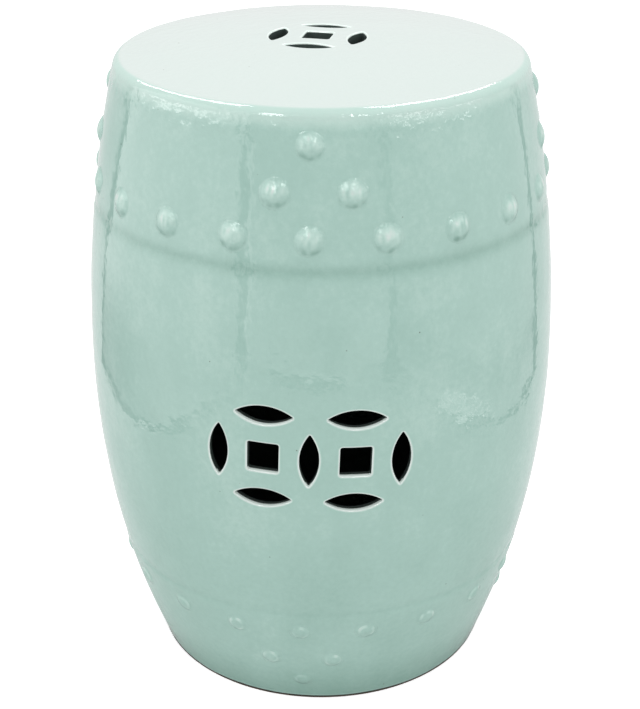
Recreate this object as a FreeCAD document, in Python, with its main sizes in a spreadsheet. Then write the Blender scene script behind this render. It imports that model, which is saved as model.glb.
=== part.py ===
import FreeCAD, Part
import math
import os
import Sketcher

# Ceramic garden stool: a hollow drum with a pierced seat, a pierced belly and drum-nail bosses.
# Millimetres. The origin is the middle of the foot's rest plane, +Z is up, and the front faces -Y.
# An azimuth is counted from the front, growing towards +X.

os.makedirs("parts", exist_ok=True)
doc = FreeCAD.newDocument("garden_stool")

# Driving sizes, one spreadsheet cell each
driving_sizes = {
    # drum
    "belly_radius": 166.8,        # widest outside radius
    "belly_height": 227.0,        # height of the widest circle
    "foot_inset": 42.6,           # how far the wall draws in from the belly to the foot
    "head_inset": 26.8,           # how far the wall draws in from the belly to the seat's edge
    "rim_height": 446.0,          # height of the seat's edge
    "wall": 7.0,                  # thickness of every wall section
    # seat
    "seat_rise": 11.0,            # crown of the seat above its edge
    "seat_thickness": 9.5,
    "rim_depth": 11.5,            # height of the band that the seat's edge shows
    "rim_round": 8.5,             # rounding of the seat's edge
    # joints between the wall sections
    "upper_ring_drop": 97.5,      # from the seat's edge down to the upper ring line
    "lower_ring_height": 91.0,
    "lap": 4.0,                   # height of the stepped joint's tongue
    "curl_depth": 1.2,            # how far a section's lower edge curls in over the one below
    "curl_height": 4.0,
    # foot
    "foot_lip": 2.2,              # height of bare clay that shows under the wall
    "foot_ledge": 4.0,            # how far the foot ring stands in past the wall
    "foot_bevel": 0.8,
    # coin piercings of the belly
    "coin_pitch": 61.0,           # between the middles of two coins that share a petal
    "petal_length": 38.0,
    "petal_width": 13.0,
    "coin_square": 21.0,
    "panel_drop": 6.2,            # middle of the coin panel below the belly's widest circle
    "panel_tilt": 1.85,           # the hand-cut panel falls to its right
    "panel_count": 2.0,           # front and rear
    # coin piercing of the seat
    "seat_coin_pitch": 54.5,      # between the middles of two petals across from each other
    "seat_petal_length": 34.2,
    "seat_petal_width": 11.7,
    "seat_coin_square": 18.8,
    "seat_coin_aside": -2.5,      # hand cut a little to the left of the middle
    "seat_coin_turn": -10.0,
    # bosses of the upper row and of the trios above it
    "upper_boss_width": 18.5,
    "upper_boss_relief": 3.0,
    "upper_row_rise": 19.5,       # above the upper ring line
    "upper_tip_drop": 21.0,       # below the seat's edge
    "upper_tip_width": 17.0,
    "upper_pair_drop": 28.5,      # below the tip
    "upper_turn": 0.0,
    "front_pair_turn": 1.1,       # the hand-set pair in front sits a little to the right
    # bosses of the lower row and of the trios below it
    "lower_boss_width": 15.0,
    "lower_boss_relief": 2.6,
    "lower_row_drop": 17.0,       # below the lower ring line
    "lower_tip_height": 22.4,
    "lower_tip_width": 13.0,
    "lower_pair_rise": 22.6,      # above the tip
    "lower_turn": -3.0,
}
sheet = doc.addObject("Spreadsheet::Sheet", "Sizes")
for row, (alias, value) in enumerate(driving_sizes.items(), start=1):
    sheet.set(f"A{row}", str(value))
    sheet.setAlias(f"A{row}", alias)
doc.recompute()

# Sizes that follow from the driving ones
worked_out = doc.addObject("App::VarSet", "Worked")


def work_out(name, formula):
    worked_out.addProperty("App::PropertyFloat", name)
    worked_out.setExpression(name, formula)
    return f"Worked.{name}"


def arc_through(inset, rise):
    """Radius of the arc that runs straight at first and has turned aside by inset after rise."""
    return f"(({inset}) ^ 2 + ({rise}) ^ 2) / (2 * ({inset}))"


# drum
lower_arc = work_out("lower_arc", arc_through("Sizes.foot_inset", "Sizes.belly_height"))
upper_arc = work_out("upper_arc", arc_through("Sizes.head_inset", "Sizes.rim_height - Sizes.belly_height"))
head_radius = work_out("head_radius", "Sizes.belly_radius - Sizes.head_inset")
# seams between the wall sections
seat_seam = work_out("seat_seam", "Sizes.rim_height - Sizes.rim_depth")
upper_ring = work_out("upper_ring", "Sizes.rim_height - Sizes.upper_ring_drop")
lower_ring = "Sizes.lower_ring_height"
foot_seam = "Sizes.foot_lip"
# seat
dome = work_out("dome", arc_through("Sizes.seat_rise", head_radius))
under_dome = work_out("under_dome", f"{dome} - Sizes.seat_thickness")
dome_middle = work_out("dome_middle", f"Sizes.rim_height + Sizes.seat_rise - {dome}")
wall_lean = work_out("wall_lean", f"asin((Sizes.rim_height - Sizes.belly_height) / {upper_arc})")
dome_lean = work_out("dome_lean", f"asin({head_radius} / {dome})")
round_run = work_out("round_run", f"Sizes.rim_round * tan((90 - {wall_lean} - {dome_lean}) / 2)")
# coins
belly_petal_arc = work_out("belly_petal_arc", arc_through("Sizes.petal_width / 2", "Sizes.petal_length / 2"))
seat_petal_arc = work_out(
    "seat_petal_arc", arc_through("Sizes.seat_petal_width / 2", "Sizes.seat_petal_length / 2")
)
coin_azimuth = work_out("coin_azimuth", "Sizes.coin_pitch / 2 / Sizes.belly_radius * 180 / pi")
coin_fall = work_out("coin_fall", "Sizes.coin_pitch / 2 * sin(Sizes.panel_tilt)")
panel_height = work_out("panel_height", "Sizes.belly_height - Sizes.panel_drop")
# bosses
upper_row = work_out("upper_row", f"{upper_ring} + Sizes.upper_row_rise")
upper_tip = work_out("upper_tip", "Sizes.rim_height - Sizes.upper_tip_drop")
upper_pair = work_out("upper_pair", f"{upper_tip} - Sizes.upper_pair_drop")
lower_row = work_out("lower_row", f"{lower_ring} - Sizes.lower_row_drop")
lower_tip = "Sizes.lower_tip_height"
lower_pair = work_out("lower_pair", f"{lower_tip} + Sizes.lower_pair_rise")
doc.recompute()


def wall_radius(arc, height, inset="0"):
    """Radius of the drum at a height, inset square to the wall's surface."""
    run = f"({height}) - Sizes.belly_height"
    return f"Sizes.belly_radius - {arc} + sqrt(({arc} - {inset}) ^ 2 - ({run}) ^ 2)"


def joint_radius(arc, height):
    """Radius of the upright step in the middle of a wall's stepped joint."""
    return f"{wall_radius(arc, height)} - Sizes.wall / 2"


# Sketches


def plane_of(body, role):
    return next(feature for feature in body.Origin.OriginFeatures if feature.Role == role)


def new_sketch(body, name, role):
    sketch = body.newObject("Sketcher::SketchObject", name)
    sketch.AttachmentSupport = [(plane_of(body, role), "")]
    sketch.MapMode = "FlatFace"
    return sketch


def arc_between(start, end, radius):
    """Short arc of a positive radius turning left from start to end, of a negative one turning right."""
    chord = end - start
    left = FreeCAD.Vector(-chord.y, chord.x, 0).normalize()
    reach = math.sqrt(radius ** 2 - (chord.Length / 2) ** 2)
    centre = (start + end) / 2 + left * math.copysign(reach, radius)
    first, last = (start, end) if radius > 0 else (end, start)
    angles = [math.atan2(point.y - centre.y, point.x - centre.x) for point in (first, last)]
    circle = Part.Circle(centre, FreeCAD.Vector(0, 0, 1), abs(radius))
    return Part.ArcOfCircle(circle, *angles)


def bind(sketch, name, parts, formula):
    """Add a dimension to a sketch and tie it to the sheet."""
    number = sketch.addConstraint(Sketcher.Constraint(*parts))
    sketch.renameConstraint(number, name)
    sketch.setExpression(f"Constraints.{name}", formula)


def draw_outline(sketch, name, corners, bends):
    """Draw a closed outline whose corners are pairs of expressions.

    bends gives the radius expression of the arc that leaves a corner, by the corner's number,
    with a minus sign in front where the arc turns right.
    """
    points = [FreeCAD.Vector(*(float(sketch.evalExpression(text)) for text in corner)) for corner in corners]
    ends = []
    for number, start in enumerate(points):
        end = points[(number + 1) % len(points)]
        if number not in bends:
            ends.append((sketch.addGeometry(Part.LineSegment(start, end)), 1, 2))
            continue
        turns_right = bends[number].startswith("-")
        radius_text = bends[number].lstrip("-")
        radius = float(sketch.evalExpression(radius_text))
        side = sketch.addGeometry(arc_between(start, end, -radius if turns_right else radius))
        ends.append((side, 2, 1) if turns_right else (side, 1, 2))
        bind(sketch, f"{name}_bend{number}", ["Radius", side, radius], radius_text)
    for number, (side, first, last) in enumerate(ends):
        next_side, next_first, _ = ends[(number + 1) % len(ends)]
        sketch.addConstraint(Sketcher.Constraint("Coincident", side, last, next_side, next_first))
        for kind, axis, text, value in zip(("DistanceX", "DistanceY"), (-2, -1), corners[number],
                                           (points[number].x, points[number].y)):
            if text == "0":
                sketch.addConstraint(Sketcher.Constraint("PointOnObject", side, first, axis))
            else:
                bind(sketch, f"{name}_corner{number}_{kind[-1]}", [kind, side, first, value], text)


def turned_body(name, corners, bends):
    """A body turned about the drum's axis from a section in the XZ plane."""
    body = doc.addObject("PartDesign::Body", name)
    body.Label = name
    sketch = new_sketch(body, f"{name}_section", "XZ_Plane")
    doc.recompute()
    draw_outline(sketch, "section", corners, bends)
    turned = body.newObject("PartDesign::Revolution", f"{name}_turned")
    turned.Profile = sketch
    turned.ReferenceAxis = (sketch, ["V_Axis"])
    turned.Angle = 360
    sketch.Visibility = False
    doc.recompute()
    return body


# Wall sections, each stepped onto the one below it


def step_up(arc, seam):
    """Corners of a stepped joint's lower half, from the outside in."""
    top = f"{seam} + Sizes.lap"
    return [
        (wall_radius(arc, seam), seam),
        (joint_radius(arc, seam), seam),
        (joint_radius(arc, seam), top),
        (wall_radius(arc, top, "Sizes.wall"), top),
    ]


def curled_step(arc, seam):
    """Corners of the same joint's upper half, from the inside out, with the lower edge curled in."""
    _, outer_step, inner_step, inside = step_up(arc, seam)
    curl_top = f"{seam} + Sizes.curl_height"
    return [
        inside,
        inner_step,
        outer_step,
        (f"{wall_radius(arc, seam)} - Sizes.curl_depth", seam),
        (wall_radius(arc, curl_top), curl_top),
    ]


belly_out = ("Sizes.belly_radius", "Sizes.belly_height")
belly_in = ("Sizes.belly_radius - Sizes.wall", "Sizes.belly_height")
lower_inner_arc = f"({lower_arc} - Sizes.wall)"
upper_inner_arc = f"({upper_arc} - Sizes.wall)"

belly_wall = turned_body(
    "belly_wall",
    curled_step(lower_arc, lower_ring) + [belly_out] + step_up(upper_arc, upper_ring) + [belly_in],
    {4: lower_arc, 5: upper_arc, 9: f"-{upper_inner_arc}", 10: f"-{lower_inner_arc}"},
)

foot_band = turned_body(
    "foot_band",
    step_up(lower_arc, foot_seam)[::-1] + step_up(lower_arc, lower_ring),
    {3: lower_arc, 7: f"-{lower_inner_arc}"},
)

foot_ring_top = f"{foot_seam} + Sizes.lap"
foot_ring_inside = f"{wall_radius(lower_arc, foot_ring_top, 'Sizes.wall')} - Sizes.foot_ledge"
foot_ring = turned_body(
    "foot_ring",
    [
        (foot_ring_inside, "0"),
        (f"{wall_radius(lower_arc, '0')} - Sizes.foot_bevel", "0"),
        (wall_radius(lower_arc, "Sizes.foot_bevel"), "Sizes.foot_bevel"),
        *step_up(lower_arc, foot_seam)[:3],
        (foot_ring_inside, foot_ring_top),
    ],
    {2: lower_arc},
)

# The seat drops a spigot inside the head band, so that joint steps down instead of up
spigot_foot = f"{seat_seam} - Sizes.lap"
spigot_inside = wall_radius(upper_arc, spigot_foot, "Sizes.wall")
seat_joint = [
    (spigot_inside, spigot_foot),
    (joint_radius(upper_arc, seat_seam), spigot_foot),
    (joint_radius(upper_arc, seat_seam), seat_seam),
    (wall_radius(upper_arc, seat_seam), seat_seam),
]

head_band = turned_body(
    "head_band",
    curled_step(upper_arc, upper_ring) + seat_joint[::-1],
    {4: upper_arc, 8: f"-{upper_inner_arc}"},
)

# Seat slab, a shallow dome of even thickness
round_foot = f"Sizes.rim_height - {round_run} * cos({wall_lean})"
round_top = f"{head_radius} - {round_run} * cos({dome_lean})"
seat_slab = turned_body(
    "seat_slab",
    [
        (spigot_inside, f"{dome_middle} + sqrt({under_dome} ^ 2 - ({spigot_inside}) ^ 2)"),
        *seat_joint,
        (wall_radius(upper_arc, round_foot), round_foot),
        (round_top, f"{dome_middle} + sqrt({dome} ^ 2 - ({round_top}) ^ 2)"),
        ("0", "Sizes.rim_height + Sizes.seat_rise"),
        ("0", "Sizes.rim_height + Sizes.seat_rise - Sizes.seat_thickness"),
    ],
    {4: upper_arc, 5: "Sizes.rim_round", 6: dome, 8: f"-{under_dome}"},
)

# Coin piercings: four petals and a square, cut square to the wall through each coin's middle

belly_coin = {
    "reach": "Sizes.coin_pitch / 2",
    "petal": "Sizes.petal_length",
    "petal_arc": belly_petal_arc,
    "square": "Sizes.coin_square",
}
seat_coin = {
    "reach": "Sizes.seat_coin_pitch / 2",
    "petal": "Sizes.seat_petal_length",
    "petal_arc": seat_petal_arc,
    "square": "Sizes.seat_coin_square",
}


def draw_petal(sketch, coin, side):
    """A petal of the coin on its left, right, top or bottom side, or in the sketch's middle."""
    reach, half = coin["reach"], f"{coin['petal']} / 2"
    across = {"left": f"-{reach}", "right": reach}.get(side, "0")
    up = {"bottom": f"-{reach}", "top": reach}.get(side, "0")
    if side in ("top", "bottom"):
        tips = [(f"-{half}", up), (half, up)]
    else:
        tips = [(across, half), (across, f"-{half}")]
    draw_outline(sketch, f"{side}_petal", tips, {0: coin["petal_arc"], 1: coin["petal_arc"]})


def draw_square(sketch, coin):
    half = f"{coin['square']} / 2"
    corners = [(f"-{half}", f"-{half}"), (half, f"-{half}"), (half, half), (f"-{half}", half)]
    draw_outline(sketch, "square", corners, {})


def cut_through(body, sketch, reach):
    """Pocket outwards from the sketch's plane, and make sure that it took clay away."""
    before = body.Shape.Volume
    pocket = body.newObject("PartDesign::Pocket", f"{sketch.Name}_cut")
    pocket.Profile = sketch
    pocket.Reversed = True
    pocket.setExpression("Length", reach)
    sketch.Visibility = False
    doc.recompute()
    if not body.Shape.Volume < before:
        raise RuntimeError(f"{pocket.Name} cut nothing")
    return pocket


def cut_coin_part(name, azimuth, height, petals, square):
    """Cut petals, and the square if wanted, along the azimuth through the belly's front."""
    sketch = new_sketch(belly_wall, name, "XZ_Plane")
    sketch.setExpression(
        "AttachmentOffset",
        f"placement(vector(0; {height}; 0); rotation(vector(0; 1; 0); {azimuth})"
        " * rotation(vector(0; 0; 1); -Sizes.panel_tilt))",
    )
    doc.recompute()
    for side in petals:
        draw_petal(sketch, belly_coin, side)
    if square:
        draw_square(sketch, belly_coin)
    return cut_through(belly_wall, sketch, "Sizes.belly_radius + Sizes.wall")


front_cuts = [
    cut_coin_part(
        "left_coin", f"-{coin_azimuth}", f"{panel_height} + {coin_fall}", ["top", "bottom", "left"], True
    ),
    cut_coin_part("shared_petal", "0", panel_height, ["middle"], False),
    cut_coin_part(
        "right_coin", coin_azimuth, f"{panel_height} - {coin_fall}", ["top", "bottom", "right"], True
    ),
]
before_pattern = belly_wall.Shape.Volume
panels = belly_wall.newObject("PartDesign::PolarPattern", "coin_panels")
panels.Originals = front_cuts
panels.Axis = (plane_of(belly_wall, "Z_Axis"), [""])
panels.Angle = 360
panels.setExpression("Occurrences", "Sizes.panel_count")
belly_wall.Tip = panels
doc.recompute()
if not belly_wall.Shape.Volume < before_pattern:
    raise RuntimeError("the rear panel cut nothing")

seat_sketch = new_sketch(seat_slab, "seat_coin", "XY_Plane")
seat_sketch.setExpression(
    "AttachmentOffset", "placement(vector(Sizes.seat_coin_aside; 0; 0); rotationz(Sizes.seat_coin_turn))"
)
doc.recompute()
for side in ("top", "bottom", "left", "right"):
    draw_petal(seat_sketch, seat_coin, side)
draw_square(seat_sketch, seat_coin)
cut_through(seat_slab, seat_sketch, "Sizes.rim_height + 2 * Sizes.seat_rise")

# Bosses: domes of clay stuck on the wall, so each is the part of a ball that stands out of the drum

drum_form = turned_body(
    "drum_form",
    [
        ("0", "0"),
        (wall_radius(lower_arc, "0"), "0"),
        belly_out,
        (head_radius, "Sizes.rim_height"),
        ("0", "Sizes.rim_height"),
    ],
    {1: lower_arc, 2: upper_arc},
)


def make_boss(name, arc, height, width, relief):
    """The cap of a ball that stands out of the drum's front at a height, cut to the wall it is stuck on."""
    ball = doc.addObject("Part::Sphere", f"{name}_ball")
    radius = arc_through(relief, f"{width} / 2")
    share = f"(1 - ({radius} - {relief}) / {arc})"
    run = f"({height} - Sizes.belly_height)"
    out = f"Sizes.belly_radius - {arc} + {share} * sqrt({arc} ^ 2 - {run} ^ 2)"
    ball.setExpression("Radius", radius)
    ball.setExpression("Placement.Base.y", f"-({out})")
    ball.setExpression("Placement.Base.z", f"Sizes.belly_height + {share} * {run}")
    boss = doc.addObject("Part::Cut", name)
    boss.Base = ball
    boss.Tool = drum_form
    return boss


def set_round(name, places):
    """One node of separate bosses: pairs of a boss and the azimuth that it is turned to."""
    copies = []
    for number, (boss, azimuth) in enumerate(places, start=1):
        copy = doc.addObject("App::Link", f"{name}_{number}")
        copy.LinkedObject = boss
        copy.setExpression("Placement", f"placement(vector(0; 0; 0); rotationz({azimuth}))")
        copies.append(copy)
    node = doc.addObject("Part::Compound", name)
    node.Links = copies
    node.Label = name
    return node


boss_levels = {
    "upper": (upper_arc, upper_row, upper_pair, upper_tip),
    "lower": (lower_arc, lower_row, lower_pair, lower_tip),
}
quarters = {"front": 0, "right": 90, "rear": 180, "left": 270}
row_steps = (-2, -1, 0, 1, 2)
row_pitch = 90 / len(row_steps)

pair_turns = {("upper", "front"): " + Sizes.front_pair_turn"}

boss_nodes = []
for level, (arc, row_height, pair_height, tip_height) in boss_levels.items():
    width = f"Sizes.{level}_boss_width"
    relief = f"Sizes.{level}_boss_relief"
    row_boss = make_boss(f"{level}_row_boss", arc, row_height, width, relief)
    pair_boss = make_boss(f"{level}_pair_boss", arc, pair_height, width, relief)
    tip_boss = make_boss(f"{level}_tip_boss", arc, tip_height, f"Sizes.{level}_tip_width", relief)
    for quarter, middle in quarters.items():
        row = [(row_boss, f"{middle + step * row_pitch} + Sizes.{level}_turn") for step in row_steps]
        pair_turn = f"Sizes.{level}_turn" + pair_turns.get((level, quarter), "")
        trio = [
            (pair_boss, f"{middle - row_pitch / 2} + {pair_turn}"),
            (pair_boss, f"{middle + row_pitch / 2} + {pair_turn}"),
            (tip_boss, f"{middle} + Sizes.{level}_turn"),
        ]
        boss_nodes.append(set_round(f"{level}_boss_row_{quarter}", row))
        boss_nodes.append(set_round(f"{level}_boss_trio_{quarter}", trio))
doc.recompute()

# Check every object, then write the nodes

for item in doc.Objects:
    if "Invalid" in item.State or "Error" in item.State:
        raise RuntimeError(f"{item.Name} failed: {item.State}")

for node in [seat_slab, head_band, belly_wall, foot_band, foot_ring] + boss_nodes:
    if node.Shape.isNull() or not node.Shape.isValid():
        raise RuntimeError(f"{node.Label} has no valid shape")
    node.Shape.exportStep(f"parts/{node.Label}.step")
    print(f"{node.Label}: {len(node.Shape.Solids)} solid(s), {node.Shape.Volume / 1000:.1f} cm3")
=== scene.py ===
import bpy
import bmesh
import math
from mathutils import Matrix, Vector, noise
from mathutils.geometry import delaunay_2d_cdt


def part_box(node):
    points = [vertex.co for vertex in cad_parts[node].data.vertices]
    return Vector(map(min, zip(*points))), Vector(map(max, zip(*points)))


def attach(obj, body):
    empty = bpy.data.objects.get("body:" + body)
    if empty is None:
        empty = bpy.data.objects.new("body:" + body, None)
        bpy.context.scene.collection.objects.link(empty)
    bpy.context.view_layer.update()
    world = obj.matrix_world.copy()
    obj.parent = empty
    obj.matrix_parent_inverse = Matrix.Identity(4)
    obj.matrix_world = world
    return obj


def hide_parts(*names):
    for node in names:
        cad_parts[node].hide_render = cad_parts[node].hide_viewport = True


# Garden stool: a thrown drum in celadon glaze, pierced with coins and set with nail-head bosses.
# Metres, standing on z = 0, front towards -Y. An azimuth is counted from the front, growing towards +X.

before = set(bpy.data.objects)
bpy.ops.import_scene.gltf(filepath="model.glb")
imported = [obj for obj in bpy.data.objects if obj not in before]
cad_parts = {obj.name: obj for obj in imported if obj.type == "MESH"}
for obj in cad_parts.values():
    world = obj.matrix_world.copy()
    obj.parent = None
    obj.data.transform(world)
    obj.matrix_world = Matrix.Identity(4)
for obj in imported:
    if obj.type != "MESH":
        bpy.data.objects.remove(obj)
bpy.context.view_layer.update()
mm = 0.001


def placeObject(name, data):
    placed = bpy.data.objects.new(name, data)
    bpy.context.scene.collection.objects.link(placed)
    return placed


camera = {
    "place": (0.0483, -1.0247, 0.7085),
    "pitchDown": 25.56,
    "turn": 2.75,
    "lens": 77.97,
    "sees": 60,                 # how far, past the edge of the floor
}


def setCamera():
    optics = bpy.data.cameras.new("viewpoint")
    optics.lens = camera["lens"]
    optics.clip_end = camera["sees"]
    viewpoint = placeObject("viewpoint", optics)
    viewpoint.location = camera["place"]
    viewpoint.rotation_euler = (math.radians(90 - camera["pitchDown"]), 0, math.radians(camera["turn"]))
    bpy.context.scene.camera = viewpoint


# Drum: the curve of the wall, and the slight unevenness that throwing leaves

drum = {
    "bellyRadius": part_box("belly_wall")[1].x,
    "bellyHeight": 227 * mm,
    "footInset": 42.6 * mm,
    "headInset": 26.8 * mm,
    "rimHeight": 446 * mm,
    "seatSeam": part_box("head_band")[1].z,
    "upperRing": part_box("head_band")[0].z,
    "lowerRing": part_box("belly_wall")[0].z,
    "footSeam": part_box("foot_band")[0].z,
    "wall": 7 * mm,
    "lap": 4 * mm,              # height of the stepped joint between two sections
    "segments": 288,
    "rowStep": 4 * mm,
    "insideStep": 6 * mm,       # between rows inside the head band and the foot band
    "waves": [(115 * mm, 0.32 * mm), (42 * mm, 0.26 * mm), (17 * mm, 0.10 * mm)],    # length and height
    "seamLump": 0.45 * mm,      # lumps of luting clay and glaze along the seams
    "lumpLength": 9 * mm,
    "lumpReach": 5 * mm,
    "lumpLeast": 0.01,          # share below which a lump is left out
    "skinRoom": 0.34 * mm,      # keeps the uneven skin inside the turned shape
}
headRise = drum["rimHeight"] - drum["bellyHeight"]
lowerArc = (drum["footInset"] ** 2 + drum["bellyHeight"] ** 2) / (2 * drum["footInset"])
upperArc = (drum["headInset"] ** 2 + headRise ** 2) / (2 * drum["headInset"])


def wallArc(height):
    return lowerArc if height < drum["bellyHeight"] else upperArc


def wallRadius(height, inset=0.0):
    arc = wallArc(height)
    run = height - drum["bellyHeight"]
    return drum["bellyRadius"] - arc + math.sqrt((arc - inset) ** 2 - run ** 2)


def wallLean(height):
    return math.asin((height - drum["bellyHeight"]) / wallArc(height))


def around(azimuth, radius, height):
    return Vector((radius * math.sin(azimuth), -radius * math.cos(azimuth), height))


def waviness(place):
    lift = sum(high * noise.noise(place / long) for long, high in drum["waves"]) - drum["skinRoom"]
    for seam in (drum["seatSeam"], drum["upperRing"], drum["lowerRing"]):
        near = math.exp(-((place.z - seam) / drum["lumpReach"]) ** 2)
        if near > drum["lumpLeast"]:
            lift += near * drum["seamLump"] * noise.noise(place / drum["lumpLength"])
    return lift


def onDrum(azimuth, height, lift=0.0):
    # a point of the outer skin, lifted square to it
    lean = wallLean(height)
    radius = wallRadius(height)
    lift += waviness(around(azimuth, radius, height))
    return around(azimuth, radius + lift * math.cos(lean), height + lift * math.sin(lean))


def insideDrum(azimuth, height):
    return around(azimuth, wallRadius(height, drum["wall"]), height)


def jointRadius(height):
    return wallRadius(height) - drum["wall"] / 2


def spaced(start, end, step):
    count = max(1, round(abs(end - start) / step))
    return [start + (end - start) * number / count for number in range(count + 1)]


def fade(value, start, end):
    # 0 at start, 1 at end, eased at both
    share = min(max((value - start) / (end - start), 0.0), 1.0)
    return share * share * (3 - 2 * share)


# Clay: each piece is one mesh. Its points keep a glazeDepth, 0 thin and pale, 0.5 plain and 1 pooled, which
# in places also carries painted light and shade, and a roughCast, how lumpy the clay is under the glaze.
# Faces marked raw have the piece's second material, on the glazed pieces a near-black clay that is painted
# shade.

plainGlaze = 0.5
sharpAngle = math.radians(55)
weldDistance = 0.002 * mm


def newClay():
    clay = bmesh.new()
    clay.verts.layers.float.new("glazeDepth")
    clay.verts.layers.float.new("roughCast")
    return clay


def addPoint(clay, place, depth=plainGlaze, rough=0.0):
    point = clay.verts.new(place)
    point[clay.verts.layers.float["glazeDepth"]] = depth
    point[clay.verts.layers.float["roughCast"]] = rough
    return point


def addFace(clay, points, raw=False):
    face = clay.faces.new(points)
    face.smooth = True
    face.material_index = int(raw)


def bridgeRows(clay, first, second, raw=False, skip=None):
    for number in range(len(first)):
        after = (number + 1) % len(first)
        if skip is None or not skip(number):
            addFace(clay, (first[number], first[after], second[after], second[number]), raw)


def turnSection(clay, stations, closed=True, skip=None):
    # a station is (placeAt(azimuth), glaze depth, raw[, rough]), where raw is for the faces that leave it
    turns = [math.tau * number / drum["segments"] for number in range(drum["segments"])]
    rows = []
    for placeAt, depth, _, *rough in stations:
        rows.append([addPoint(clay, placeAt(turn), depth, *rough) for turn in turns])
    pairs = list(zip(rows, rows[1:] + rows[:1]))
    for number, (row, nextRow) in enumerate(pairs if closed else pairs[:-1]):
        skipHere = (lambda column, level=number: skip(level, column)) if skip else None
        bridgeRows(clay, row, nextRow, stations[number][2], skipHere)


def finishClay(clay, name, node, materials):
    bmesh.ops.remove_doubles(clay, verts=clay.verts, dist=weldDistance)
    bmesh.ops.recalc_face_normals(clay, faces=clay.faces)
    for edge in clay.edges:
        edge.smooth = edge.calc_face_angle(0) < sharpAngle
    mesh = bpy.data.meshes.new(name)
    clay.to_mesh(mesh)
    clay.free()
    for material in materials:
        mesh.materials.append(material)
    piece = placeObject(name, mesh)
    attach(piece, "root")
    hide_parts(node)
    print(name, len(mesh.vertices), "points")


# Stations of a wall section

lumpy = {
    "seatEdge": 0.7,            # roughCast under the seat's edge
    "below": 18 * mm,           # it begins this far below the seat's seam
    "above": 2 * mm,            # and is full this far above it
    "ring": 0.6,                # roughCast along the upper ring
    "ringReach": 5 * mm,
}
edgeRows = [0, 0.4 * mm, 0.9 * mm, 1.5 * mm, 2.2 * mm, 3 * mm, 4 * mm, 5.5 * mm, 7.5 * mm, 10 * mm]


def lumpiness(height):
    under = fade(height, drum["seatSeam"] - lumpy["below"], drum["seatSeam"] + lumpy["above"])
    ring = math.exp(-((height - drum["upperRing"]) / lumpy["ringReach"]) ** 2)
    return lumpy["seatEdge"] * under + lumpy["ring"] * ring


def outerStation(height, lift, depth):
    return (lambda azimuth: onDrum(azimuth, height, lift), depth, False, lumpiness(height))


def innerStation(height):
    return (lambda azimuth: insideDrum(azimuth, height), plainGlaze, True)


def jointStation(radius, height, raw=True):
    return (lambda azimuth: around(azimuth, radius, height), plainGlaze, raw)


def stepJoint(seam, rise=drum["lap"]):
    # the two corners of the upright step, from the outside in
    return [jointStation(jointRadius(seam), seam), jointStation(jointRadius(seam), seam + rise)]


def outerHeights(low, high):
    # closer together beside the seams
    lowRows = [low + rise for rise in edgeRows]
    highRows = [high - drop for drop in reversed(edgeRows)]
    return lowRows[:-1] + spaced(lowRows[-1], highRows[0], drum["rowStep"]) + highRows[1:]


# Piercings: each hole has a glazed lip that rolls over, a sill through the wall and a plain back edge

coin = {
    "belly": {"pitch": 61 * mm, "petalLength": 38 * mm, "petalWidth": 13 * mm, "square": 21 * mm},
    "seat": {"pitch": 54.5 * mm, "petalLength": 34.2 * mm, "petalWidth": 11.7 * mm, "square": 18.8 * mm},
    "petalTip": 0.7 * mm,
    "squareCorner": 1.6 * mm,
    "arcPoints": 17,
    "tipPoints": 5,
    "cornerPoints": 5,
    "sidePoints": 6,
    "panelDrop": 6.2 * mm,
    "panelTilt": 1.85,
    "panelReach": 27.5,         # azimuth that the panel's own mesh takes to each side
    "panelRise": 61 * mm,
    "seatTurn": -10,
    "seatAside": -2.5 * mm,
    "seatReach": 49 * mm,
    "clearance": 1.6 * mm,      # the skin's loose points keep this far from a hole
}
lip = {
    "shoulder": [(2.2 * mm, 1), (0.6 * mm, 1.04)],      # rows outside it, and their share of the glaze
    "roll": 1.1 * mm,
    "rollTurns": (0, 18, 36, 54, 72, 90),
    "rollGlaze": 0.65,          # share of the skin's glaze where the roll begins, none left at thinTurn: the near-white arris is thin glaze and a painted highlight line
    "thinTurn": 45,
    "sillPlace": 0.42,          # places in the wall are shares of its thickness
    # the sill's pale glaze is thin glaze and painted light, for the sill that light from above falls on
    "sillGlazeAndLight": 0.07,
    "backRoll": 1 * mm,
    "backTurns": (0, 45, 90),
    "backGlaze": 0.16,
    "facesDown": (0.3, 0.75),   # an edge facing down this far begins to be a lower edge, and is one
    "lowerRoll": 1.1,           # how much further the glaze rolls in over a lower edge, up to lowerRollEnd
    "lowerRollEnd": 0.3,
    "lowerGlazeEnd": 0.55,      # where the pale glaze of a lower edge ends: the lit sill keeps it as painted light, while upper and side walls turn sooner to the near-black inside clay as painted shade
}


def petalOutline(sizes, grow):
    # two long arcs joined by small round tips, lying along x
    tip = coin["petalTip"] + grow
    halfWidth = sizes["petalWidth"] / 2 + grow
    reach = sizes["petalLength"] / 2 - coin["petalTip"]
    arc = (reach ** 2 + halfWidth ** 2 - tip ** 2) / (2 * (halfWidth - tip))
    drop = arc - halfWidth
    swing = math.atan2(reach, drop)
    half = []
    for number in range(coin["arcPoints"]):
        angle = swing * (2 * number / (coin["arcPoints"] - 1) - 1)
        half.append((arc * math.sin(angle), arc * math.cos(angle) - drop))
    for number in range(1, coin["tipPoints"] + 1):
        angle = swing + (math.pi - 2 * swing) * number / (coin["tipPoints"] + 1)
        half.append((reach + tip * math.sin(angle), tip * math.cos(angle)))
    return half + [(-x, -y) for x, y in half]


def squareOutline(sizes, grow):
    corner = coin["squareCorner"] + grow
    middle = sizes["square"] / 2 - coin["squareCorner"]
    quarter = []
    for number in range(coin["cornerPoints"]):
        angle = math.pi / 2 * number / (coin["cornerPoints"] - 1)
        quarter.append((middle + corner * math.sin(angle), middle + corner * math.cos(angle)))
    for number in range(1, coin["sidePoints"] + 1):
        quarter.append((middle + corner, middle * (1 - 2 * number / (coin["sidePoints"] + 1))))
    outline = []
    for _ in range(4):
        outline += quarter
        quarter = [(y, -x) for x, y in quarter]
    return outline


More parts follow.
